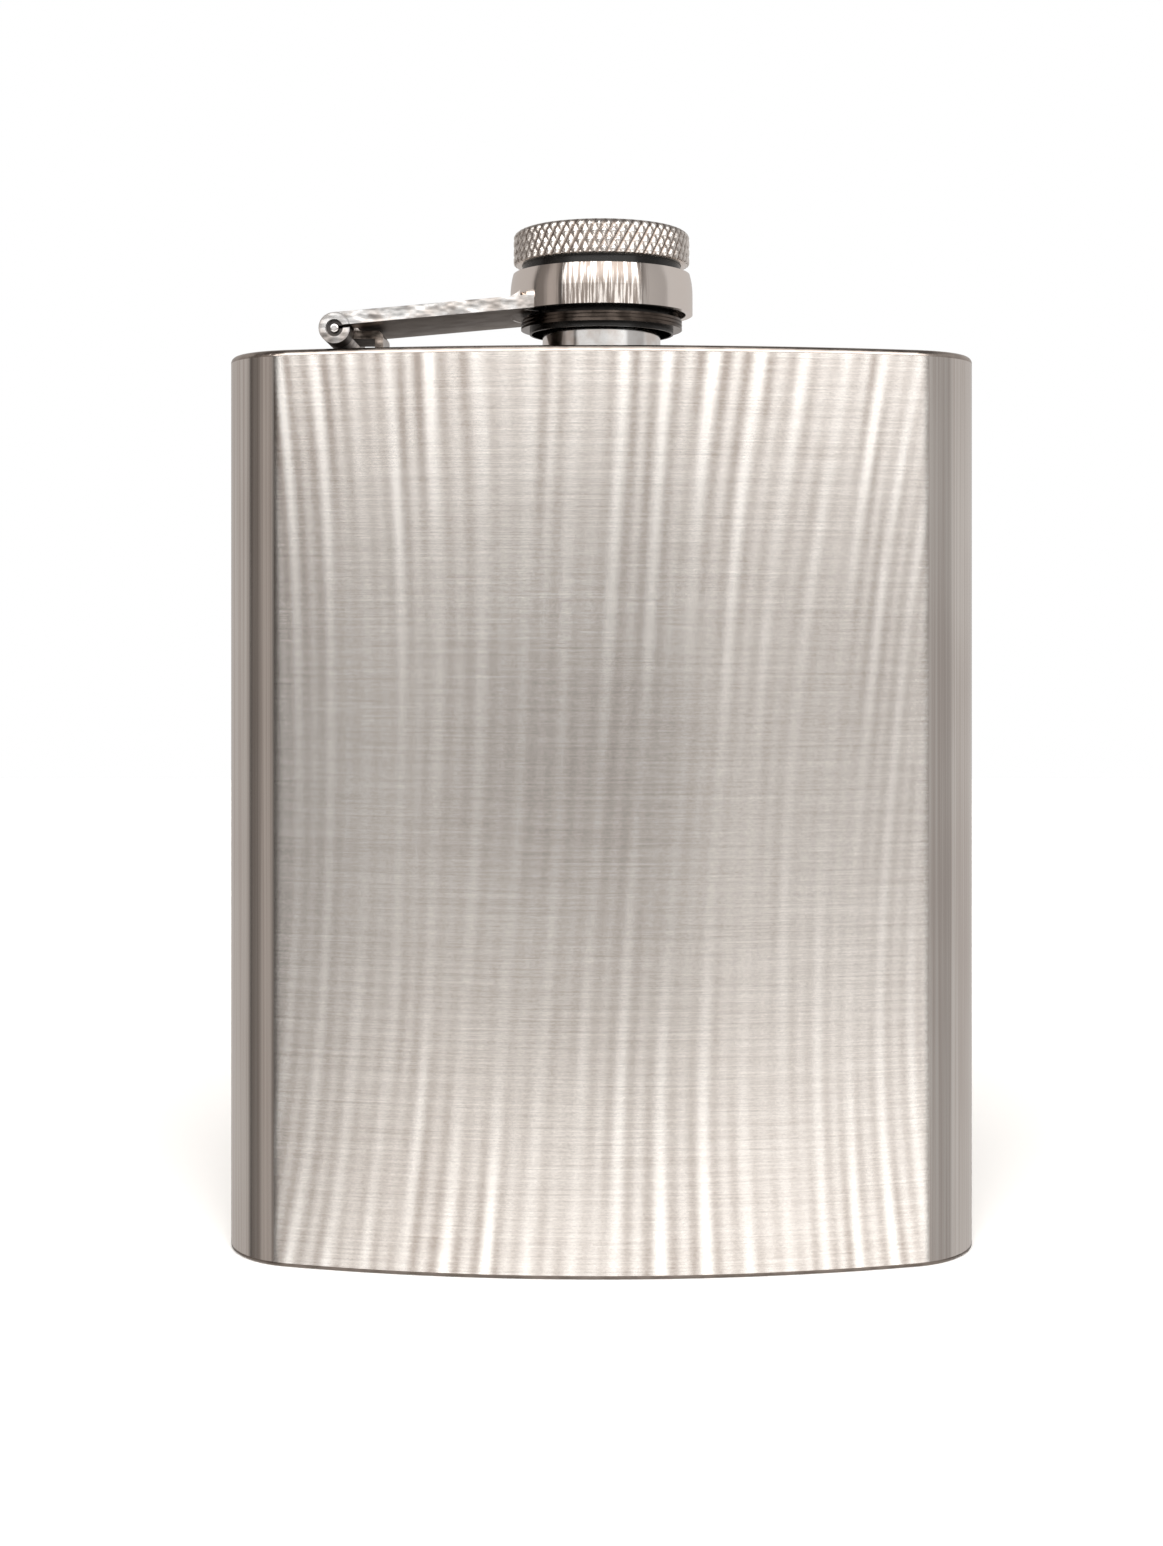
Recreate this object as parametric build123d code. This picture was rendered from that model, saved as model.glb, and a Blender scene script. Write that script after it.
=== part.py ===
from build123d import *
from math import asin, cos, radians, sin, tan
import os

# Hip flask of welded stainless sheet with a captive screw cap on a hinged arm.
# Millimetres. +X is to the right seen from the front, -Y is the bulging front, +Z is up.
# The origin is the middle of the flask's footprint, at the base.

# Body: a kidney-shaped tube bent about an upright axis behind the flask
body_height = 112.2
body_thickness = 22.0
bend_radius = 144.0  # middle of the thickness
end_reach = 36.0  # X of the centre of each half-round end
wall = 0.6
top_plate_thickness = 0.8
top_edge_radius = 0.75
base_plate_thickness = 0.5
base_edge_radius = 0.35
skirt_depth = 3.0  # turned-in rim that locates a plate inside the tube
skirt_gap = 0.03

# Neck, brazed through the top plate
neck_radius = 7.38
neck_height = 10.7  # above the top plate
neck_setback = 0.4  # behind the middle of the thickness, so that the collar stays behind the front face
mouth_radius = 6.0
plain_neck = 3.6  # unthreaded stretch above the top plate
thread_crest = 7.2
thread_root = 6.75
thread_pitch = 2.0
neck_tail = 1.6  # stretch below the top plate's upper face

# Hinge: heights are above the top plate
pin_x = -32.5
pin_height = 2.45
pin_radius = 0.55
pin_dome = 0.2
knuckle_radius = 1.9
arm_bore = 0.6
eye_radius = 1.05  # shallow recess round each end of the pin
eye_depth = 0.7
bracket_bore = 0.555
bracket_width = 8.0
bracket_strip = 1.0
bracket_bridge_top = 2.65
bracket_leg_x = -27.0
knuckle_side_gap = 0.2
arm_middle_y = -1.5

# Arm: a thick strip rolled round the pin at one end and brazed to the collar at the other
arm_width = 16.6
arm_thickness = 1.6
arm_slope = 5.15
arm_end_x = -9.9  # tip of the turned-up end
arm_reach_x = -7.9  # where the strip below the tip meets the collar
arm_flare_length = 1.6
arm_flare_height = 0.7
roll_slit = 0.4
tongue_inner = 9.3
tongue_half_angle = 34.0

# Collar: ring that carries the cap, open below, with a lip turned in at its top
collar_bottom = 5.0
collar_top = 10.0
collar_radius = 11.4
collar_top_radius = 11.05
collar_curve_from = 7.4
collar_inner = 10.55
lip_bottom = 8.9
lip_inner = 10.02

# Cap: all heights above the top plate
cap_bottom = 2.55
end_ring_bottom = 3.1
end_ring_top = 4.3
end_ring_radius = 10.08
end_ring_groove = 0.26
core_lower_radius = 9.0
core_shoulder = 8.0
core_radius = 9.9
core_top = 14.2
cap_bore = 8.75
cap_thread_tip = 8.4
gasket_bottom = 10.8
gasket_top = 12.0
gasket_radius = 8.7
head_bottom = 11.15
head_top = 15.4
head_radius = 11.0
head_chamfer = 0.8
head_inner = 9.95
snap_ring_bottom = 8.2
snap_ring_top = 8.7
snap_groove_radius = 9.4
snap_ring_radius = 10.4
snap_ring_split = 3.0

# Places that follow from the sizes above
bend_angle = asin(end_reach / bend_radius)
end_setback = bend_radius * (1 - cos(bend_angle))
footprint_depth = body_thickness + end_setback
bend_y = bend_radius + body_thickness / 2 - footprint_depth / 2
neck_y = bend_y - bend_radius + neck_setback
shoulder = body_height
pin_z = shoulder + pin_height


def at_bend(radius, angle):
    # Point of the plan view, at an angle from the flask's middle plane round the bend's axis
    return (radius * sin(angle), bend_y - radius * cos(angle))


def kidney(inset):
    # Plan outline of the flask, drawn in by an even inset
    half = body_thickness / 2 - inset
    outer = bend_radius + half
    inner = bend_radius - half
    end_x, end_y = at_bend(bend_radius, bend_angle)
    tip_x = end_x + half * cos(bend_angle)
    tip_y = end_y + half * sin(bend_angle)
    front_x, front_y = at_bend(outer, bend_angle)
    back_x, back_y = at_bend(inner, bend_angle)
    front = ThreePointArc((-front_x, front_y), at_bend(outer, 0), (front_x, front_y))
    right = ThreePointArc((front_x, front_y), (tip_x, tip_y), (back_x, back_y))
    back = ThreePointArc((back_x, back_y), at_bend(inner, 0), (-back_x, back_y))
    left = ThreePointArc((-back_x, back_y), (-tip_x, tip_y), (-front_x, front_y))
    return make_face([front, right, back, left])


def upright(face, bottom, top):
    # Straight-sided solid on a plan outline between two heights
    return Pos(0, 0, bottom) * extrude(face, top - bottom)


def on_neck(shape):
    return Pos(0, neck_y, shoulder) * shape


def turned_outline(outline):
    # Solid of revolution about the cap's axis, drawn as radius and height above the top plate
    return on_neck(revolve(Plane.XZ * outline, Axis.Z))


def turned(points):
    return turned_outline(make_face(Polyline(*points, close=True)))


def disc(radius, bottom, top):
    return Pos(0, 0, bottom) * Cylinder(radius, top - bottom, align=(Align.CENTER, Align.CENTER, Align.MIN))


def thread_ridge(root, tip, bottom, turns):
    # Helical ridge of trapezoid section. It starts a little inside the wall that carries it.
    side = 1 if tip > root else -1
    start = root - side * 0.1
    path = Helix(thread_pitch, thread_pitch * turns, root)
    foot = thread_pitch * 0.36
    crest = thread_pitch * 0.12
    corners = [(start, -foot), (tip, -crest), (tip, crest), (start, foot)]
    section = make_face(Plane.XZ * Polyline(*corners, close=True))
    return Pos(0, 0, bottom) * sweep(section, path=path, is_frenet=True)


def make_body_wall():
    ring = kidney(0) - kidney(wall)
    return upright(ring, base_plate_thickness, shoulder - top_plate_thickness)


def make_plate(bottom, top, edge_height, edge_radius, skirt_bottom, skirt_top):
    plate = upright(kidney(0), bottom, top)
    rim_edges = plate.edges().filter_by_position(Axis.Z, edge_height - 0.01, edge_height + 0.01)
    plate = fillet(rim_edges, edge_radius)
    skirt = kidney(wall + skirt_gap) - kidney(2 * wall + skirt_gap)
    return plate + upright(skirt, skirt_bottom, skirt_top)


def make_top_plate():
    lower_face = shoulder - top_plate_thickness
    plate = make_plate(lower_face, shoulder, shoulder, top_edge_radius,
                       lower_face - skirt_depth, lower_face)
    return plate - on_neck(disc(neck_radius, -top_plate_thickness, 0))


def make_bottom_plate():
    return make_plate(0, base_plate_thickness, 0, base_edge_radius,
                      base_plate_thickness, base_plate_thickness + skirt_depth)


def make_neck():
    lower = disc(neck_radius, -neck_tail, plain_neck)
    upper = disc(thread_root, plain_neck, neck_height)
    lip_edge = upper.edges().filter_by_position(Axis.Z, neck_height - 0.01, neck_height + 0.01)
    upper = fillet(lip_edge, 0.3)
    ridge = thread_ridge(thread_root, thread_crest, plain_neck + 1.2, 2.4)
    bore = disc(mouth_radius, -neck_tail, neck_height)
    return on_neck(lower + upper + ridge - bore)


def side_profile(outline, y_low, y_high):
    # Solid whose outline is drawn in X and Z about the hinge pin, between two depths
    solid = extrude(Plane.XZ * outline, -(y_high - y_low))
    return Pos(pin_x, y_low, pin_z) * solid


def pin_rod(radius, y_low, y_high):
    return side_profile(Circle(radius), y_low, y_high)


def make_hinge_bracket():
    # One bent strip: rolled round the pin, bridging to the right, then down to the top plate
    low = arm_middle_y - bracket_width / 2
    high = arm_middle_y + bracket_width / 2
    bridge_top = bracket_bridge_top - pin_height
    leg_x = bracket_leg_x - pin_x
    bend = bracket_strip * 0.8
    bridge = Pos(leg_x / 2, bridge_top - bracket_strip / 2) * Rectangle(leg_x, bracket_strip)
    leg_height = bracket_bridge_top
    leg = Pos(leg_x - bracket_strip / 2, bridge_top - leg_height / 2) * Rectangle(bracket_strip, leg_height)
    strip = bridge + leg
    corner = strip.vertices().sort_by(Axis.X)[-2:].sort_by(Axis.Y)[-1]
    strip = fillet(corner, bend)
    outline = strip + Circle(knuckle_radius) - Circle(bracket_bore)
    return side_profile(outline, low, high)


def make_hinge_pin():
    half = arm_width / 2
    rod = pin_rod(pin_radius, arm_middle_y - half, arm_middle_y + half)
    ends = rod.edges().filter_by(GeomType.CIRCLE)
    return fillet(ends, pin_dome)


def make_hinge_arm():
    front = arm_middle_y - arm_width / 2
    back = arm_middle_y + arm_width / 2
    strip_length = arm_reach_x - pin_x + 1
    strip_bottom = knuckle_radius - arm_thickness
    strip = Pos(strip_length / 2, knuckle_radius - arm_thickness / 2) * Rectangle(strip_length, arm_thickness)
    slit = Pos(knuckle_radius, strip_bottom - roll_slit / 2) * Rectangle(2 * knuckle_radius, roll_slit)
    outline = strip + Circle(knuckle_radius) - Circle(arm_bore) - slit
    tilt = Rot(0, 0, arm_slope)
    arm = side_profile(tilt * outline, front, back)

    # Turned-up end, upright at its tip
    end = arm_end_x - pin_x
    rise = tan(radians(arm_slope))
    top_at_end = knuckle_radius / cos(radians(arm_slope)) + end * rise
    flare_start = (end - arm_flare_length, top_at_end - arm_flare_length * rise)
    flare_tip = (end, top_at_end + arm_flare_height)
    curve = TangentArc(flare_start, flare_tip, tangent=(1, rise))
    inside = (end, top_at_end - arm_thickness / 2)
    flare_foot = (end - arm_flare_length, top_at_end - arm_flare_length * rise - arm_thickness / 2)
    flare = make_face([curve, Line(flare_tip, inside), Line(inside, flare_foot), Line(flare_foot, flare_start)])
    arm += side_profile(flare, front, back)
    far_side = Pos(arm_reach_x + 5, arm_middle_y, pin_z) * Box(10, 2 * arm_width, 20)
    arm -= far_side

    # Slot for the bracket's knuckle, and the seat round the collar
    slot_low = arm_middle_y - bracket_width / 2 - knuckle_side_gap
    slot_high = arm_middle_y + bracket_width / 2 + knuckle_side_gap
    slot = side_profile(Circle(knuckle_radius + 0.5), slot_low, slot_high)
    seat = on_neck(disc(collar_radius, 0, 20))
    eyes = pin_rod(eye_radius, front, front + eye_depth) + pin_rod(eye_radius, back - eye_depth, back)
    arm = arm - slot - seat - eyes
    return arm + make_tongue()


def make_tongue():
    # Thin sector of the arm's lower face that laps under the collar's edge
    ring = Circle(collar_radius) - Circle(tongue_inner)
    reach = 2 * collar_radius
    spread = reach * tan(radians(tongue_half_angle))
    wedge = make_face(Polyline((0, 0), (-reach, spread), (-reach, -spread), close=True))
    thickness = collar_bottom - tongue_bottom()
    return on_neck(Pos(0, 0, tongue_bottom()) * extrude(ring & wedge, thickness))


def tongue_bottom():
    # Height of the arm's lower face where it reaches the collar
    strip_bottom = knuckle_radius - arm_thickness
    rise = tan(radians(arm_slope))
    return pin_height + strip_bottom / cos(radians(arm_slope)) + (arm_end_x - pin_x) * rise


def make_swivel_collar():
    # Upright below, drawn in by a gentle curve towards the top
    inner_side = Polyline(
        (collar_radius, collar_curve_from),
        (collar_radius, collar_bottom),
        (collar_inner, collar_bottom),
        (collar_inner, lip_bottom),
        (lip_inner, lip_bottom),
        (lip_inner, collar_top),
        (collar_top_radius, collar_top),
    )
    flank = TangentArc((collar_radius, collar_curve_from), (collar_top_radius, collar_top), tangent=(0, 1))
    return turned_outline(make_face([*inner_side.edges(), flank]))


def make_cap_head():
    profile = [
        (head_inner, head_bottom),
        (head_radius, head_bottom),
        (head_radius, head_top - head_chamfer),
        (head_radius - head_chamfer, head_top),
        (0, head_top),
        (0, core_top),
        (head_inner, core_top),
    ]
    return turned(profile)


def make_cap_core():
    profile = [
        (cap_bore, cap_bottom),
        (core_lower_radius, cap_bottom),
        (core_lower_radius, core_shoulder),
        (core_radius, core_shoulder),
        (core_radius, snap_ring_bottom),
        (snap_groove_radius, snap_ring_bottom),
        (snap_groove_radius, snap_ring_top),
        (core_radius, snap_ring_top),
        (core_radius, core_top),
        (0, core_top),
        (0, gasket_top),
        (cap_bore, gasket_top),
    ]
    ridge = on_neck(thread_ridge(cap_bore, cap_thread_tip, cap_bottom + 3.0, 1.8))
    return turned(profile) + ridge


def make_cap_end_ring():
    # Two fine grooves run round its edge
    height = end_ring_top - end_ring_bottom
    groove_radius = end_ring_radius - end_ring_groove
    profile = [(core_lower_radius, end_ring_bottom), (end_ring_radius, end_ring_bottom)]
    for share in (0.24, 0.6):
        low = end_ring_bottom + share * height
        high = low + end_ring_groove * 0.8
        profile += [(end_ring_radius, low), (groove_radius, low), (groove_radius, high), (end_ring_radius, high)]
    profile += [(end_ring_radius, end_ring_top), (core_lower_radius, end_ring_top)]
    return turned(profile)


def make_retaining_ring():
    # Split spring ring that holds the cap up in the collar
    ring = disc(snap_ring_radius, snap_ring_bottom, snap_ring_top)
    ring -= disc(snap_groove_radius, snap_ring_bottom, snap_ring_top)
    middle = (snap_ring_bottom + snap_ring_top) / 2
    ring -= Pos(0, snap_ring_radius, middle) * Box(snap_ring_split, 2 * snap_ring_split, 2)
    return on_neck(ring)


def make_cap_gasket():
    return on_neck(disc(gasket_radius, gasket_bottom, gasket_top))


nodes = {
    "body_wall": make_body_wall,
    "top_plate": make_top_plate,
    "bottom_plate": make_bottom_plate,
    "neck": make_neck,
    "hinge_bracket": make_hinge_bracket,
    "hinge_pin": make_hinge_pin,
    "hinge_arm": make_hinge_arm,
    "swivel_collar": make_swivel_collar,
    "cap_head": make_cap_head,
    "cap_core": make_cap_core,
    "cap_end_ring": make_cap_end_ring,
    "retaining_ring": make_retaining_ring,
    "cap_gasket": make_cap_gasket,
}

os.makedirs("parts", exist_ok=True)
for name, make in nodes.items():
    shape = make()
    export_step(shape, f"parts/{name}.step")
    print(name, round(shape.volume, 1))
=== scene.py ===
from math import asin, atan2, cos, pi, radians, sin

import bmesh
import bpy
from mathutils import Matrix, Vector


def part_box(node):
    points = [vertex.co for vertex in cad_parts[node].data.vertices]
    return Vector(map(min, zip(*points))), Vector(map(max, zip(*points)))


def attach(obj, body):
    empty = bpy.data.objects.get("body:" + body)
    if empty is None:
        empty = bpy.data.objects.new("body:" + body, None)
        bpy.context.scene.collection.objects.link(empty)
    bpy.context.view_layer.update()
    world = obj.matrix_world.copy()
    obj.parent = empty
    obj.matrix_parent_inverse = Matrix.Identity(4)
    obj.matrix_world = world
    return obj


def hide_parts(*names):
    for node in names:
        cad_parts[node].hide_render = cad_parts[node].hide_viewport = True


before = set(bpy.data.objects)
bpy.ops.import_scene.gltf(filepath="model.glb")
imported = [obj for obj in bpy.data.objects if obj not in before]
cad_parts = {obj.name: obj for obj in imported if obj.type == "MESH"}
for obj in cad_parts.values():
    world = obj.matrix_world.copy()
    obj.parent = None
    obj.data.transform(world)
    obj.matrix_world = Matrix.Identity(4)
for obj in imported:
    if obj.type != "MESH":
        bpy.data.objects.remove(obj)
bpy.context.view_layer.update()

mm = 0.001


def hexColour(code):
    # sRGB hex to the linear values that nodes use
    channels = [int(code[i:i + 2], 16) / 255 for i in (1, 3, 5)]
    linear = [c / 12.92 if c <= 0.04045 else ((c + 0.055) / 1.055) ** 2.4 for c in channels]
    return (*linear, 1.0)


def addNode(tree, kind, inputs=None, **settings):
    # One node with its settings; a socket given as a value is linked
    node = tree.nodes.new(kind)
    for name, value in settings.items():
        setattr(node, name, value)
    for name, value in (inputs or {}).items():
        if isinstance(value, bpy.types.NodeSocket):
            tree.links.new(value, node.inputs[name])
        else:
            node.inputs[name].default_value = value
    return node


def newMaterial(name):
    material = bpy.data.materials.new(name)
    material.use_nodes = True
    material.node_tree.nodes.clear()
    return material, material.node_tree


def giveMaterial(thing, *materials):
    thing.data.materials.clear()
    for material in materials:
        thing.data.materials.append(material)


def pieceFromMesh(bm, name, body, cadNode, smoothAngle=35):
    # Turns a finished bmesh into a piece that stands for a CAD node and moves with its body
    mesh = bpy.data.meshes.new(name)
    bmesh.ops.recalc_face_normals(bm, faces=bm.faces)
    for face in bm.faces:
        face.smooth = True
    for edge in bm.edges:
        lonely = len(edge.link_faces) < 2
        if lonely or edge.calc_face_angle(0) > radians(smoothAngle):
            edge.smooth = False
    bm.to_mesh(mesh)
    bm.free()
    thing = bpy.data.objects.new(name, mesh)
    bpy.context.scene.collection.objects.link(thing)
    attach(thing, body)
    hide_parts(cadNode)
    return thing


def spinProfile(bm, corners, centre, steps):
    # Full turn of a closed profile of (radius, height) corners about an upright axis
    ring = [bm.verts.new((centre.x + r, centre.y, z)) for r, z in corners]
    edges = [bm.edges.new((ring[i], ring[i - 1])) for i in range(len(ring))]
    bmesh.ops.spin(bm, geom=ring + edges, cent=centre, axis=(0, 0, 1), dvec=(0, 0, 0),
                   angle=2 * pi, steps=steps, use_merge=True)
    bmesh.ops.remove_doubles(bm, verts=bm.verts, dist=0.002 * mm)


def mathNode(tree, operation, *values):
    return addNode(tree, "ShaderNodeMath", dict(enumerate(values)), operation=operation).outputs[0]


def rangeNode(tree, value, low, high, toLow, toHigh):
    # Eased change from toLow to toHigh while the value goes from low to high
    node = addNode(tree, "ShaderNodeMapRange", {0: value, 1: low, 2: high, 3: toLow, 4: toHigh},
                   interpolation_type="SMOOTHSTEP")
    return node.outputs[0]


def noiseNode(tree, place, grain, detail=2.0):
    # Noise whose grain has a real size along each axis, in millimetres
    scale = [1 / (size * mm) for size in grain]
    stretched = addNode(tree, "ShaderNodeMapping", {"Vector": place, "Scale": scale}).outputs[0]
    settings = {"Vector": stretched, "Scale": 1.0, "Detail": detail}
    return addNode(tree, "ShaderNodeTexNoise", settings).outputs[0]


def axesOf(tree, vector):
    return addNode(tree, "ShaderNodeSeparateXYZ", {0: vector}).outputs


def objectPlace(tree):
    return addNode(tree, "ShaderNodeTexCoord").outputs["Object"]


def turnNode(tree, axes):
    # Angle round an upright axis, from straight in front, positive to the right
    return mathNode(tree, "ARCTAN2", axes[0], mathNode(tree, "MULTIPLY", axes[1], -1.0))


def bumpNode(tree, strength, depth, height, **more):
    return addNode(tree, "ShaderNodeBump", {"Strength": strength, "Distance": depth * mm, "Height": height,
                                            **more}).outputs[0]


def surfaceNode(tree, settings):
    shader = addNode(tree, "ShaderNodeBsdfPrincipled", settings)
    addNode(tree, "ShaderNodeOutputMaterial", {"Surface": shader.outputs[0]})


def brushedSurface(tree, base, roughness, normal):
    # Metal brushed round an upright axis, so that its highlights are drawn out up and down
    tangent = addNode(tree, "ShaderNodeTangent", direction_type="RADIAL", axis="Z").outputs[0]
    surfaceNode(tree, {"Base Color": base, "Metallic": 1.0, "Roughness": roughness, "Anisotropic": 1.0,
                       "Anisotropic Rotation": 0.25, "Normal": normal, "Tangent": tangent})


def mixColour(tree, share, first, second):
    return addNode(tree, "ShaderNodeMix", {0: share, 6: first, 7: second}, data_type="RGBA").outputs[2]


sheet = {
    "rippleSpacing": 5.5,    # between neighbouring upright ripples, in the middle of the face
    "height": 104.0,
    "waist": 52.0,           # height where the ripples come closest together
    "lean": -2.3,            # how far a ripple leans over half the height
    "leanStart": 0.9,
    "gather": 0.1,           # share by which the ripples draw apart at the top and bottom
    "gatherStart": 0.91,
    "farX": 35.0,
    "farSpread": 0.09,       # share by which they draw closer at that X
    "middleStrength": 0.12,  # of the painted ripple reflection at the waist
    "endStrength": 0.36,     # more at the top and bottom
    "broadShare": 0.4,       # of every ripple
    "narrowShare": 0.62,     # of the ripples at half the spacing
    "middleTone": 0.51,
    "scratchStrength": 0.35,
    "scratchMean": 1.45,
    "rimFrom": 111.5,        # height where the darker rim begins
    "rimFade": 0.15,
    "rim": "#877e78",
    "dark": "#aea49d",
    "light": "#fffcf8",
    "roughness": 0.17,
}


def ripplePhase(tree, across, height):
    # Upright ripples, a little closer together half-way up and towards both ends, leaning to the right
    fromWaist = mathNode(tree, "MULTIPLY", mathNode(tree, "SUBTRACT", height, sheet["waist"] * mm),
                         2 / (sheet["height"] * mm))
    square = mathNode(tree, "MULTIPLY", fromWaist, fromWaist)
    lean = mathNode(tree, "MULTIPLY_ADD", fromWaist, sheet["lean"] * mm, sheet["leanStart"] * mm)
    gather = mathNode(tree, "MULTIPLY_ADD", square, sheet["gather"], sheet["gatherStart"])
    x = mathNode(tree, "DIVIDE", mathNode(tree, "ADD", across, lean), gather)
    farShare = mathNode(tree, "MULTIPLY", x, 1 / (sheet["farX"] * mm))
    farSquare = mathNode(tree, "MULTIPLY", farShare, farShare)
    spread = mathNode(tree, "MULTIPLY_ADD", farSquare, sheet["farSpread"], 1.0)
    turnPerMetre = 2 * pi / (sheet["rippleSpacing"] * mm)
    phase = mathNode(tree, "MULTIPLY", mathNode(tree, "MULTIPLY", x, spread), turnPerMetre)
    return phase, square


def rimShade(tree, height, base):
    # The sheet's upper edge is darker in colour than the face below it
    rimFrom = sheet["rimFrom"] * mm
    rim = rangeNode(tree, height, rimFrom, rimFrom + sheet["rimFade"] * mm, 0.0, 0.85)
    return mixColour(tree, rim, base, hexColour(sheet["rim"]))


def paintedRippleReflection(tree, place):
    # Painted reflection of the ripples: share of light steel across them, which wander a little and are
    # stronger in places
    axes = axesOf(tree, place)
    straight, square = ripplePhase(tree, axes[0], axes[2])
    wander = mathNode(tree, "MULTIPLY_ADD", noiseNode(tree, place, (23.8, 23.8, 83.3), 1.0), 6.0, -3.0)
    phase = mathNode(tree, "ADD", straight, wander)
    broad = mathNode(tree, "MULTIPLY", mathNode(tree, "COSINE", phase), sheet["broadShare"])
    narrow = mathNode(tree, "COSINE", mathNode(tree, "MULTIPLY", phase, 2.0))
    wave = mathNode(tree, "MULTIPLY_ADD", narrow, sheet["narrowShare"], broad)
    uneven = rangeNode(tree, noiseNode(tree, place, (5.26, 5.26, 45.5)), 0.32, 0.68, 0.3, 1.35)
    even = mathNode(tree, "MULTIPLY_ADD", square, sheet["endStrength"], sheet["middleStrength"])
    strength = mathNode(tree, "MULTIPLY", even, uneven)
    return mathNode(tree, "MULTIPLY_ADD", wave, strength, sheet["middleTone"])


def levelScratches(tree, place):
    # Scratches of belt grit of about 0.2 mm, in short and long strokes
    grain = noiseNode(tree, place, (5.88, 5.88, 0.192), 3.0)
    longGrain = noiseNode(tree, place, (22.2, 22.2, 0.333))
    speck = noiseNode(tree, place, (0.417, 0.417, 0.278), 1.0)
    return mathNode(tree, "MULTIPLY_ADD", speck, 0.9, mathNode(tree, "ADD", grain, longGrain))


def brushedSheet():
    # Type 304 stainless sheet, belt-brushed across the flask: a soft sheen drawn out up and down,
    # fine level scratches, and the painted reflection of broad upright ripples left by rolling the sheet
    # round
    material, tree = newMaterial("brushed stainless sheet")
    place = objectPlace(tree)
    scratches = levelScratches(tree, place)
    cloud = mathNode(tree, "SUBTRACT", noiseNode(tree, place, (33.3, 33.3, 45.5), 3.0), 0.5)
    # Random cloud plus the painted ripple reflection
    blotchesAndReflections = mathNode(tree, "MULTIPLY_ADD", cloud, 0.5, paintedRippleReflection(tree, place))
    fromMean = mathNode(tree, "SUBTRACT", scratches, sheet["scratchMean"])
    share = mathNode(tree, "MULTIPLY_ADD", fromMean, sheet["scratchStrength"], blotchesAndReflections)
    base = mixColour(tree, share, hexColour(sheet["dark"]), hexColour(sheet["light"]))
    base = rimShade(tree, axesOf(tree, place)[2], base)
    brushedSurface(tree, base, sheet["roughness"], bumpNode(tree, 0.18, 0.02, scratches))
    return material


def satinEdge():
    # The same sheet, ground lengthwise round the narrow ends: smooth, dull mirror with faint upright lines
    material, tree = newMaterial("satin ground stainless")
    place = objectPlace(tree)
    lines = noiseNode(tree, place, (0.385, 0.385, 71.4), 3.0)
    cloud = noiseNode(tree, place, (16.7, 16.7, 33.3))
    tone = rangeNode(tree, mathNode(tree, "MULTIPLY_ADD", cloud, 0.6, lines), 0.55, 1.05, 0.0, 1.0)
    base = mixColour(tree, tone, hexColour("#d8d0ca"), hexColour("#f0ebe6"))
    base = rimShade(tree, axesOf(tree, place)[2], base)
    surfaceNode(tree, {"Base Color": base, "Metallic": 1.0, "Roughness": 0.13,
                       "Normal": bumpNode(tree, 0.08, 0.02, lines)})
    return material


def paintedPinShade(tree, place, pin, spread):
    # Painted shade round a pin's end, thin round the eye and thicker at its rim, out to a sharp edge
    axes = axesOf(tree, place)
    fromPin = addNode(tree, "ShaderNodeCombineXYZ", {0: mathNode(tree, "SUBTRACT", axes[0], pin.x),
                                                     2: mathNode(tree, "SUBTRACT", axes[2], pin.z)})
    distance = addNode(tree, "ShaderNodeVectorMath", {0: fromPin.outputs[0]}, operation="LENGTH").outputs[1]
    inside = rangeNode(tree, distance, spread * 0.92, spread * 1.08, 0.92, 0.12)
    edge = rangeNode(tree, distance, spread * 1.55, spread * 1.8, 0.0, 0.55)
    beyond = rangeNode(tree, distance, spread * 1.85, spread * 1.95, 1.0, 0.0)
    return mathNode(tree, "MULTIPLY", mathNode(tree, "ADD", inside, edge), beyond)


def polishedSteel(name, dark, light, roughness, lineGrain, lineStrength, mottle=0.0, undersideShade=None,
                  pinShadeSpread=0.0):
    # Stainless buffed on a wheel: near mirror, with faint lines where the wheel ran. Mottling is the slight
    # orange peel of a cut edge, an underside colour is painted shade on faces that look down, and painted
    # shade lies round the pin
    material, tree = newMaterial(name)
    coordinates = addNode(tree, "ShaderNodeTexCoord")
    place = coordinates.outputs["Object"]
    smudge = noiseNode(tree, place, (2.38, 2.38, 2.38), 3.0)
    base = mixColour(tree, rangeNode(tree, smudge, 0.35, 0.65, 0.0, 1.0), hexColour(dark), hexColour(light))
    gloss = rangeNode(tree, smudge, 0.3, 0.7, roughness * 0.75, roughness * 1.3)
    if undersideShade:
        # Faces that look down get a darker colour here: painted shade
        below = rangeNode(tree, axesOf(tree, coordinates.outputs["Normal"])[2], -0.55, -0.9, 0.0, 1.0)
        base = mixColour(tree, below, base, hexColour(undersideShade))
        gloss = mathNode(tree, "MULTIPLY_ADD", below, 0.3, gloss)
    if pinShadeSpread:
        # Painted shade round the hinge pin, mixed into the colour
        pinShade = paintedPinShade(tree, place, middleOf("hinge_pin"), pinShadeSpread * mm)
        base = mixColour(tree, pinShade, base, hexColour("#241e1a"))
        gloss = mathNode(tree, "MULTIPLY_ADD", pinShade, 0.35, gloss)
    normal = bumpNode(tree, lineStrength, 0.02, noiseNode(tree, place, lineGrain, 3.0))
    if mottle:
        normal = bumpNode(tree, mottle, 0.12, noiseNode(tree, place, (1.92, 1.92, 1.11), 1.0), Normal=normal)
    surfaceNode(tree, {"Base Color": base, "Metallic": 1.0, "Roughness": gloss, "Normal": normal})
    return material


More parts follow.
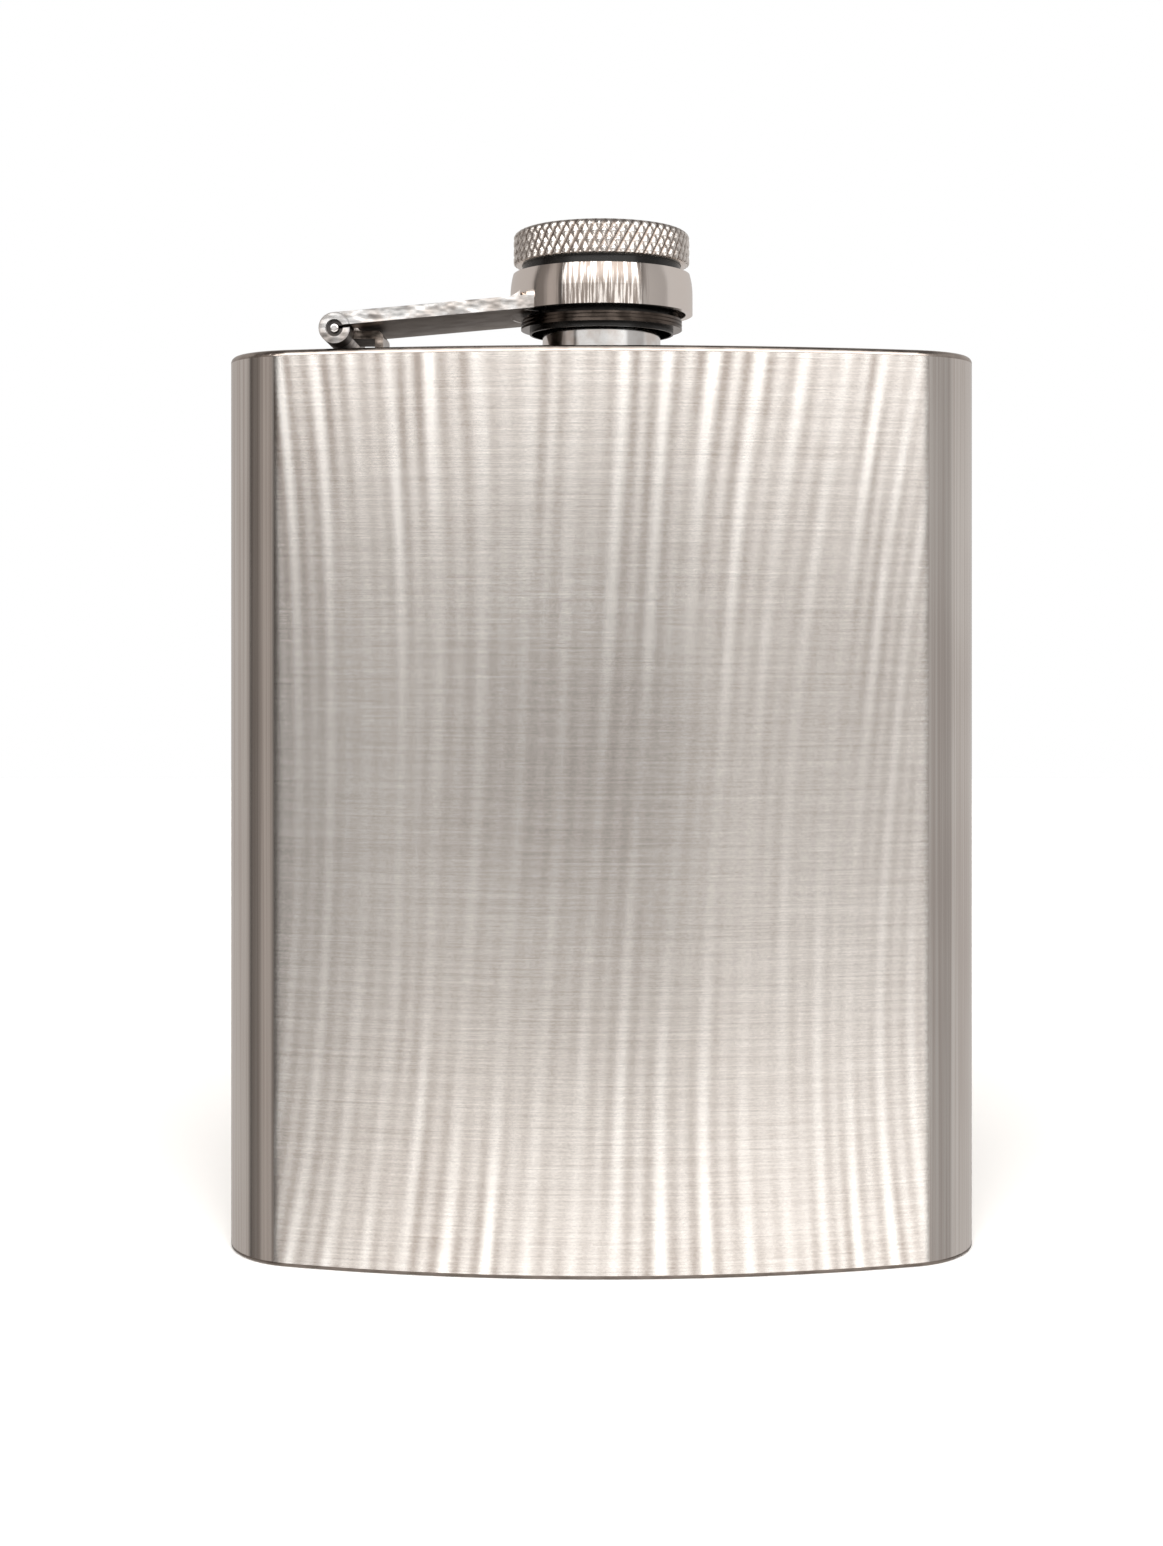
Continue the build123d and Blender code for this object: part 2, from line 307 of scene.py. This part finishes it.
def burnishedCollar(centre):
    # Turned stainless tube, mirror buffed, with fine upright light and dark streaks in front
    material, tree = newMaterial("drawn and buffed stainless")
    markAngle, markHeight = 1 / 34, 5.26 * mm
    fromAxis = addNode(tree, "ShaderNodeVectorMath", {0: objectPlace(tree), 1: -centre}, operation="ADD")
    axes = axesOf(tree, fromAxis.outputs[0])
    turn = turnNode(tree, axes)
    wrapped = addNode(tree, "ShaderNodeCombineXYZ", {0: mathNode(tree, "DIVIDE", turn, markAngle),
                                                     2: mathNode(tree, "DIVIDE", axes[2], markHeight)})
    noise = addNode(tree, "ShaderNodeTexNoise", {"Vector": wrapped.outputs[0], "Scale": 1.0, "Detail": 3.0})
    marks = noise.outputs[0]
    front = rangeNode(tree, mathNode(tree, "ABSOLUTE", turn), 0.4, 0.55, 1.0, 0.0)
    worn = rangeNode(tree, marks, 0.46, 0.6, 0.0, 1.0)
    streaks = mixColour(tree, worn, hexColour("#8a8079"), hexColour("#e6e0db"))
    base = mixColour(tree, front, hexColour("#f8f0ea"), streaks)
    brushedSurface(tree, base, 0.15, bumpNode(tree, 0.2, 0.03, marks))
    return material


def knurlSteel():
    # Knurled stainless: bright worn peaks, dull grooves
    material, tree = newMaterial("knurled stainless")
    peak = addNode(tree, "ShaderNodeAttribute", attribute_name="peak").outputs["Fac"]
    smudge = noiseNode(tree, objectPlace(tree), (0.667, 0.667, 0.667), 3.0)
    worn = mathNode(tree, "MULTIPLY_ADD", mathNode(tree, "SUBTRACT", smudge, 0.5), 0.6, peak)
    tone = rangeNode(tree, worn, 0.1, 0.85, 0.0, 1.0)
    base = mixColour(tree, tone, hexColour("#8e8178"), hexColour("#fffaf5"))
    surfaceNode(tree, {"Base Color": base, "Metallic": 1.0,
                       "Roughness": rangeNode(tree, tone, 0.0, 1.0, 0.4, 0.24)})
    return material


def glossPlastic():
    # Black moulded plastic with a gloss skin, a little duller along its flow lines
    material, tree = newMaterial("black moulded plastic")
    flow = noiseNode(tree, objectPlace(tree), (3.33, 3.33, 1.43))
    base = mixColour(tree, flow, hexColour("#0a0908"), hexColour("#141210"))
    surfaceNode(tree, {"Base Color": base, "Roughness": rangeNode(tree, flow, 0.3, 0.7, 0.18, 0.3)})
    return material


def siliconeRubber():
    # Moulded translucent white silicone: matt, slightly waxy
    material, tree = newMaterial("moulded silicone rubber")
    mottle = noiseNode(tree, objectPlace(tree), (1.11, 1.11, 1.11))
    base = mixColour(tree, mottle, hexColour("#dcdad4"), hexColour("#eeece6"))
    surfaceNode(tree, {"Base Color": base, "Roughness": 0.6, "Subsurface Weight": 0.1})
    return material


def middleOf(node):
    low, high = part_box(node)
    return (low + high) / 2


brushedStainlessSheet = brushedSheet()
satinGroundStainless = satinEdge()
mirrorCollarSteel = burnishedCollar(middleOf("swivel_collar"))
# The arm's darker underside colour and the dark ring round its pin are painted shade
buffedArmSteel = polishedSteel("buffed stainless strip", "#e6ded8", "#ffffff", 0.12, (2.0, 1.11, 1.11), 0.3,
                               mottle=0.35, undersideShade="#6f655d", pinShadeSpread=1.05)
# The bracket's dark colour is painted shade, for the recess under the arm where it sits
shadedHingeSteel = polishedSteel("stainless strip darkened as painted shade", "#4f4640", "#b3a79e", 0.16, (2.0, 1.11, 1.11), 0.3,
                               mottle=0.6, undersideShade="#3a342f")
turnedSteel = polishedSteel("turned stainless bar", "#f0e9e4", "#ffffff", 0.1, (1.43, 1.43, 8.33), 0.25)
# The bottom plate's dark colour is painted shade, for the thin dark line along the flask's foot
shadedBottomPlate = polishedSteel("dulled stainless plate darkened as painted shade", "#6d645d", "#857b74", 0.35, (16.7, 1.11, 1.11), 0.2)
beltGroundPlate = polishedSteel("belt ground stainless plate", "#a79d96", "#bfb5ad", 0.2,
                                (16.7, 1.11, 1.11), 0.2)
darkTurnedSteel = polishedSteel("turned stainless ring", "#3f3833", "#6a6059", 0.16, (25, 25, 0.192), 0.1)
knurledSteel = knurlSteel()
springSteel = polishedSteel("blued spring steel", "#6b655f", "#8a827b", 0.35, (3.33, 3.33, 0.417), 0.2)
blackPlastic = glossPlastic()
mouldedSilicone = siliconeRubber()
print("materials made")


bodyShape = {
    "bendRadius": 144.0,
    "thickness": 22.0,
    "endReach": 36.0,    # X of the middle of each rounded end
    "wall": 0.6,
    "frontSteps": 120,
    "endSteps": 24,
    "backSteps": 100,
    "brushedEnd": 40.0,  # X where the level brushing stops
}


def kidneyWire(bm, z):
    # Closed outline of the flask in plan: front, right end, back, left end
    reach = bodyShape["endReach"] * mm
    bend = bodyShape["bendRadius"] * mm
    half = bodyShape["thickness"] * mm / 2
    angle = asin(reach / bend)
    depth = 2 * half + bend * (1 - cos(angle))
    axisY = bend + half - depth / 2
    bendAxis = Vector((0, axisY, z))
    endY = axisY - bend * cos(angle)
    start = bm.verts.new((-(bend + half) * sin(angle), axisY - (bend + half) * cos(angle), z))
    runs = [
        (bendAxis, 2 * angle, bodyShape["frontSteps"]),
        (Vector((reach, endY, z)), pi, bodyShape["endSteps"]),
        (bendAxis, -2 * angle, bodyShape["backSteps"]),
        (Vector((-reach, endY, z)), pi, bodyShape["endSteps"]),
    ]
    last = [start]
    for centre, turn, steps in runs:
        spun = bmesh.ops.spin(bm, geom=last, cent=centre, axis=(0, 0, 1), dvec=(0, 0, 0), angle=turn,
                              steps=steps)
        last = [part for part in spun["geom_last"] if isinstance(part, bmesh.types.BMVert)]
    bmesh.ops.remove_doubles(bm, verts=bm.verts, dist=0.002 * mm)


def makeBodyWall():
    low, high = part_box("body_wall")
    bm = bmesh.new()
    kidneyWire(bm, low.z)
    wallHeight = high.z - low.z
    raised = bmesh.ops.extrude_edge_only(bm, edges=bm.edges[:])
    top = [part for part in raised["geom"] if isinstance(part, bmesh.types.BMVert)]
    bmesh.ops.translate(bm, verts=top, vec=(0, 0, wallHeight))
    thing = pieceFromMesh(bm, "bodyShell", "flask", "body_wall")
    giveMaterial(thing, brushedStainlessSheet, satinGroundStainless)
    for face in thing.data.polygons:
        if abs(face.center.x) > bodyShape["brushedEnd"] * mm:
            face.material_index = 1
    solid = thing.modifiers.new("wall", "SOLIDIFY")
    solid.thickness = bodyShape["wall"] * mm
    solid.offset = -1
    return thing


bodyShell = makeBodyWall()
giveMaterial(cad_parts["top_plate"], beltGroundPlate)
giveMaterial(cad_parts["bottom_plate"], shadedBottomPlate)
giveMaterial(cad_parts["neck"], turnedSteel)
print("body made")


capHead = {
    "diamonds": 57,      # round the edge
    "columns": 10,       # mesh columns in each diamond
    "rowPitch": 2.1,     # height of one diamond
    "depth": 0.32,       # of the knurl's grooves
    "deepSlope": 1.35,   # steepness of the deeper family of grooves
    "slightSlope": 0.9,
    "slightFloor": 0.3,  # the other family's grooves stop this far up
    "rows": 44,
    "chamfer": 0.8,
    "roundedRim": [(0.2, 0.6), (0.6, 0.25), (1.125, 0.075), (1.5, 0)],  # in and down, in chamfers
    "foot": 0.12,        # smooth edge below the knurl
    "inner": 9.95,
    "skin": 1.2,         # thickness of the top
}


def knurlDepth(turn, z):
    # 0 at the bottom of a groove and 1 on a diamond's peak; one family of grooves is cut deeper
    steep = z / (capHead["rowPitch"] * mm)
    share = turn * capHead["diamonds"]
    rising = abs(((share + steep) % 1) * 2 - 1)
    falling = abs(((share - steep) % 1) * 2 - 1)
    return min(capHead["deepSlope"] * falling, capHead["slightSlope"] * rising + capHead["slightFloor"], 1.0)


def makeCapHead():
    low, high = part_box("cap_head")
    centre = (low + high) / 2
    radius = (high.x - low.x) / 2
    inner = capHead["inner"] * mm
    ceiling = high.z - capHead["skin"] * mm
    chamfer = capHead["chamfer"] * mm
    foot = low.z + capHead["foot"] * mm
    edgeTop = high.z - chamfer
    rows = capHead["rows"]
    corners = [(inner, ceiling), (inner, low.z), (radius - 0.4 * mm, low.z)]
    corners += [(radius, foot + (edgeTop - foot) * row / rows) for row in range(rows + 1)]
    corners += [(radius - chamfer * inward, high.z - chamfer * down)
                for inward, down in capHead["roundedRim"]]
    corners += [(radius * 0.5, high.z), (0, high.z), (0, ceiling)]
    bm = bmesh.new()
    steps = capHead["diamonds"] * capHead["columns"]
    spinProfile(bm, corners, Vector((centre.x, centre.y, 0)), steps)
    peak = bm.verts.layers.float.new("peak")
    for vert in bm.verts:
        vert[peak] = 0.8
        out = Vector((vert.co.x - centre.x, vert.co.y - centre.y))
        if out.length > radius - 0.65 * chamfer and vert.co.z > low.z + 0.05 * mm:
            height = knurlDepth(atan2(out.y, out.x) / (2 * pi), vert.co.z)
            vert[peak] = height
            out.normalize()
            vert.co -= out.to_3d() * (1 - height) * capHead["depth"] * mm
    thing = pieceFromMesh(bm, "knurledCrown", "cap", "cap_head", smoothAngle=50)
    giveMaterial(thing, knurledSteel)
    return thing


hingeArm = {
    "edgeRadius": 0.1,
    "shortest": 0.6,    # edges shorter than this stay sharp
    "flatArea": 40.0,   # square millimetres above which a face is flat
}


def makeHingeStrap():
    # The arm's CAD shape with its long sharp edges rounded over
    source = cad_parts["hinge_arm"]
    bm = bmesh.new()
    bm.from_mesh(source.data)
    bm.transform(source.matrix_world)
    bmesh.ops.remove_doubles(bm, verts=bm.verts, dist=0.001 * mm)
    bmesh.ops.dissolve_limit(bm, angle_limit=radians(1), verts=bm.verts, edges=bm.edges)
    shortest = hingeArm["shortest"] * mm
    sharp = [edge for edge in bm.edges if len(edge.link_faces) == 2
             and edge.calc_face_angle(0) > radians(50) and edge.calc_length() > shortest]
    bmesh.ops.bevel(bm, geom=sharp, offset=hingeArm["edgeRadius"] * mm, segments=2, profile=0.5,
                    affect="EDGES", material=-1, clamp_overlap=True)
    thing = pieceFromMesh(bm, "hingeStrap", "arm", "hinge_arm", smoothAngle=40)
    for face in thing.data.polygons:
        if abs(face.normal.y) > 0.99 or face.area > hingeArm["flatArea"] * mm * mm:
            face.use_smooth = False
    giveMaterial(thing, buffedArmSteel)
    return thing


knurledCrown = makeCapHead()
hingeStrap = makeHingeStrap()
for node, material in (("cap_core", blackPlastic), ("cap_end_ring", darkTurnedSteel),
                       ("swivel_collar", mirrorCollarSteel), ("hinge_bracket", shadedHingeSteel),
                       ("hinge_pin", turnedSteel), ("retaining_ring", springSteel),
                       ("cap_gasket", mouldedSilicone)):
    giveMaterial(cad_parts[node], material)
print("cap made")


room = {
    "floorHalf": 700.0,
    # Directions below and above the horizon are given by their upward part, from -1 to 1
    "lowLift": (-0.13, -0.41),      # below the darkest level the front gets lighter, from and to here
    "highLift": (-0.01, 0.32),      # and above it, from and to here
    "frontLight": (1.5, 1.46, 1.42, 1),
    "window": (0.13, 0.43),
    "windowLight": (3.95, 3.86, 3.78, 1),
    "lowWindow": (-0.2, -0.37),
    "lowLight": (2.25, 2.18, 2.11, 1),
    "paper": (-0.36, -0.52),        # the floor, as steel seen from higher up shows it
    "paperLight": (1.0, 0.98, 0.95, 1),
    "ceiling": (0.5, 0.85),
    "ceilingLight": 0.35,
    "frontEdge": (46, 54),          # degrees to either side where the front's light ends
    "leftEdge": (-48, -12),         # degrees over which the low light falls off to the left
    "walls": [                      # degrees from straight in front, brightness, warmth from 0 to 1
        (-180, 0.52, 0.5), (-104, 0.48, 0.5), (-97, 0.42, 0.6), (-93, 0.05, 0.8), (-89, 0.17, 0.9),
        (-78, 0.19, 0.9), (-70, 0.40, 0.8), (-57, 0.38, 0.8), (-52, 0.03, 0.8), (-47, 0.08, 0.7),
        (-42, 0.08, 0.7), (-34, 0.09, 0.7), (-20, 0.11, 0.6), (-9, 0.04, 0.5), (7, 0.06, 0.4),
        (15, 0.27, 0.3), (30, 0.30, 0.3), (44, 0.48, 0.2), (50, 0.50, 0.2), (52, 0.44, 0.4),
        (88, 0.38, 0.4), (94, 0.56, 0.3), (180, 0.55, 0.5)],
}


def makeFloor():
    # White paper that stays out of the steel's reflections, where the room's own low light stands for it
    bm = bmesh.new()
    bmesh.ops.create_grid(bm, x_segments=1, y_segments=1, size=room["floorHalf"] * mm)
    mesh = bpy.data.meshes.new("paleFloor")
    bm.to_mesh(mesh)
    bm.free()
    floor = bpy.data.objects.new("paleFloor", mesh)
    floor.visible_glossy = False
    bpy.context.scene.collection.objects.link(floor)
    material, tree = newMaterial("white paper sweep")
    surfaceNode(tree, {"Base Color": hexColour("#fbfaf8"), "Roughness": 0.9, "Specular IOR Level": 0.1})
    giveMaterial(floor, material)


def wallRamp(tree, turn):
    # Lighter and darker walls all round, warmer where their warmth is higher
    share = mathNode(tree, "MULTIPLY_ADD", turn, 1 / (2 * pi), 0.5)
    ramp = addNode(tree, "ShaderNodeValToRGB", {0: share})
    elements = ramp.color_ramp.elements
    while len(elements) < len(room["walls"]):
        elements.new(0.5)
    for element, wall in zip(elements, room["walls"]):
        element.position = wall[0] / 360 + 0.5
    for element, (angle, light, warmth) in zip(elements, room["walls"]):
        element.color = (light, light * (1 - 0.12 * warmth), light * (1 - 0.2 * warmth), 1)
    return ramp.outputs[0]


def frontLight(tree, turn, up, light):
    # In front it is darkest at about the height of the flask's middle and brighter above and below
    inFront = rangeNode(tree, mathNode(tree, "ABSOLUTE", turn), *map(radians, room["frontEdge"]), 1.0, 0.0)
    over = rangeNode(tree, up, *room["highLift"], 0.0, 1.0)
    under = rangeNode(tree, up, *room["lowLift"], 0.0, 1.0)
    dimLeft = rangeNode(tree, turn, *map(radians, room["leftEdge"]), 0.5, 1.0)
    both = mathNode(tree, "MULTIPLY_ADD", under, dimLeft, over)
    light = mixColour(tree, mathNode(tree, "MULTIPLY", both, inFront), light, room["frontLight"])
    window = mathNode(tree, "MULTIPLY", rangeNode(tree, up, *room["window"], 0.0, 1.0), inFront)
    light = mixColour(tree, window, light, room["windowLight"])
    low = mathNode(tree, "MULTIPLY", rangeNode(tree, up, *room["lowWindow"], 0.0, 1.0), inFront)
    dimmerLeft = rangeNode(tree, turn, *map(radians, room["leftEdge"]), 0.4, 1.0)
    return mixColour(tree, mathNode(tree, "MULTIPLY", low, dimmerLeft), light, room["lowLight"])


def makeRoom():
    # The room round the flask, as its steel reflects it; behind the flask only plain white is seen
    world = bpy.data.worlds.new("studio room")
    bpy.context.scene.world = world
    world.use_nodes = True
    tree = world.node_tree
    tree.nodes.clear()
    axes = axesOf(tree, addNode(tree, "ShaderNodeTexCoord").outputs["Generated"])
    turn = turnNode(tree, axes)
    light = frontLight(tree, turn, axes[2], wallRamp(tree, turn))
    light = mixColour(tree, rangeNode(tree, axes[2], *room["paper"], 0.0, 1.0), light, room["paperLight"])
    overhead = rangeNode(tree, axes[2], *room["ceiling"], 1.0, room["ceilingLight"])
    background = addNode(tree, "ShaderNodeBackground", {"Color": light, "Strength": overhead}).outputs[0]
    plain = addNode(tree, "ShaderNodeBackground", {"Color": (1, 1, 1, 1), "Strength": 1.0}).outputs[0]
    direct = addNode(tree, "ShaderNodeLightPath").outputs["Is Camera Ray"]
    seen = addNode(tree, "ShaderNodeMixShader", {0: direct, 1: background, 2: plain})
    addNode(tree, "ShaderNodeOutputWorld", {"Surface": seen.outputs[0]})


def addSun(name, slant, softness, strength):
    # Soft light from above and in front that lights the floor and stays out of the steel's reflections
    lamp = bpy.data.lights.new(name, "SUN")
    lamp.energy = strength
    lamp.angle = radians(softness)
    thing = bpy.data.objects.new(name, lamp)
    thing.rotation_euler = (radians(slant), 0, 0)
    thing.visible_glossy = False
    bpy.context.scene.collection.objects.link(thing)


view = {
    "sensor": 36,
    "focal": 1.3422,                # as a share of the frame's longer side, as the shifts are
    "shift": (-0.01294, -0.10867),
    "distance": 262.0,
    "height": 80.94,
}


def makeCamera():
    # Level, a quarter of a metre in front of the flask and a little below its shoulder
    data = bpy.data.cameras.new("camera")
    data.sensor_fit = "AUTO"
    data.sensor_width = view["sensor"]
    data.lens = view["sensor"] * view["focal"]
    data.shift_x, data.shift_y = view["shift"]
    data.clip_start = 0.01
    thing = bpy.data.objects.new("camera", data)
    thing.location = (0, -view["distance"] * mm, view["height"] * mm)
    thing.rotation_euler = (radians(90), 0, 0)
    bpy.context.scene.collection.objects.link(thing)
    bpy.context.scene.camera = thing


makeFloor()
makeRoom()
addSun("frontSun", 38, 45, 1.9)
makeCamera()
bpy.context.scene.view_settings.view_transform = "Standard"
print("studio made")
